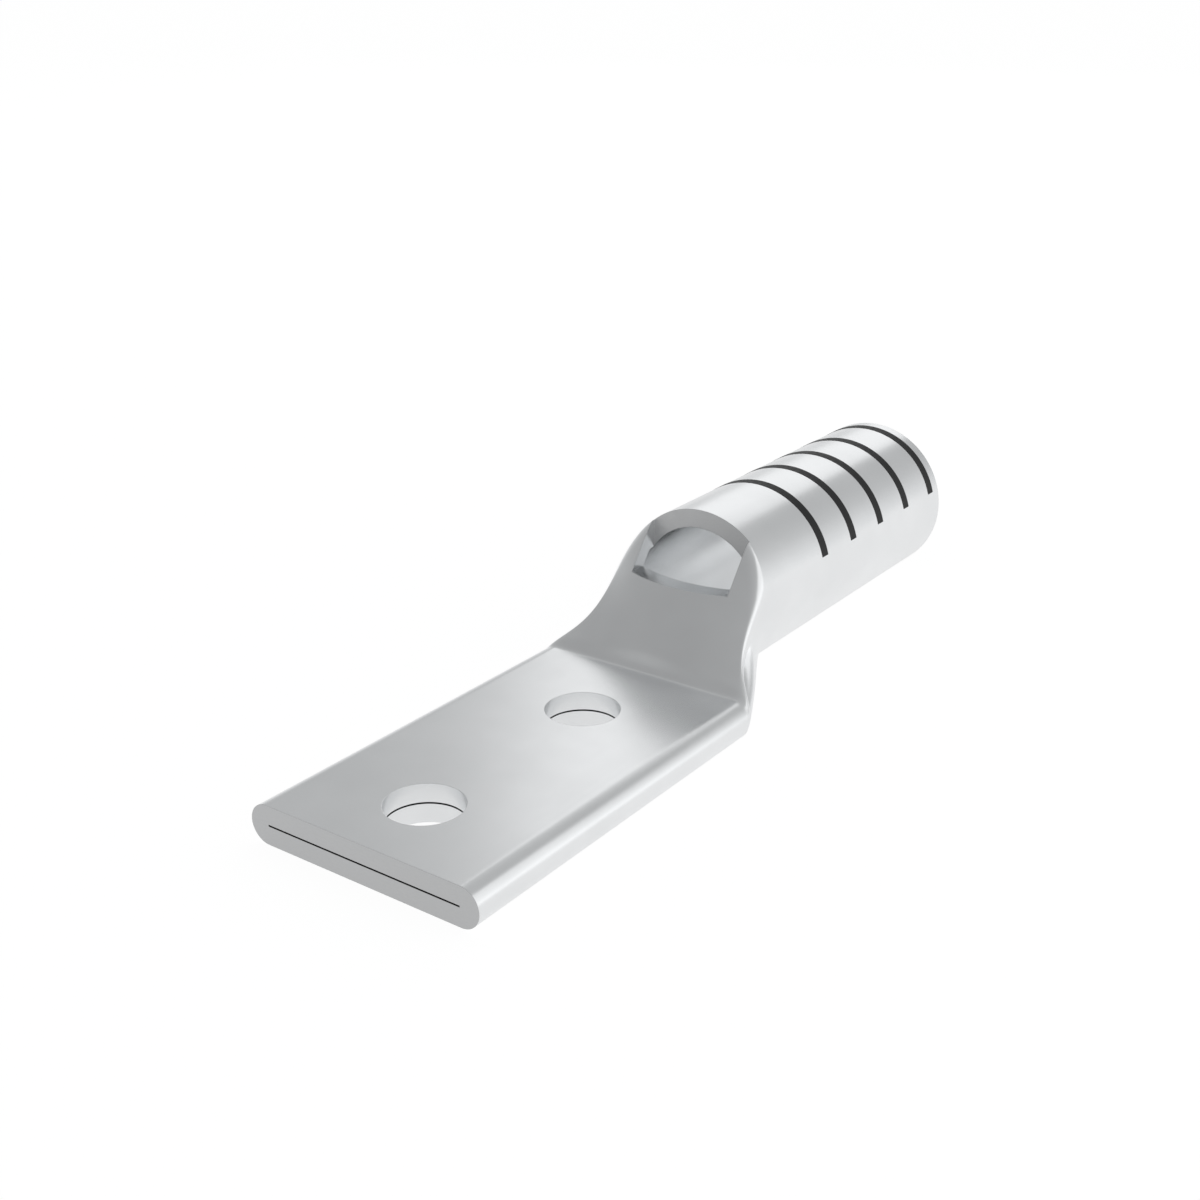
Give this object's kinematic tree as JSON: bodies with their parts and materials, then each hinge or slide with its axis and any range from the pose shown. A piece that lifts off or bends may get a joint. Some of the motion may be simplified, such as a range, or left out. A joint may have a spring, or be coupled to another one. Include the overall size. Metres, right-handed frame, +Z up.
{
  "type": "compression lug",
  "caption": "Long-barrel compression lug: a plated copper tube pressed flat into a pad with two stud holes in line, with a sight window at the foot of the barrel.",
  "frame": {"origin": "midway between the two stud holes, on the underside of the pad", "axes": "+X runs from the pad to the barrel along the lug's length, +Y to the left seen from the pad's end, +Z up out of the pad's top face"},
  "size_m": [0.1761, 0.0498, 0.0356],
  "materials": {
    "plated_copper": "smooth tin plating on copper, satin",
    "band_ink": "thin matte black printing ink"
  },
  "bodies": {
    "root": {"lug": "plated_copper", "crimp_bands": "band_ink"}
  },
  "joints": []
}
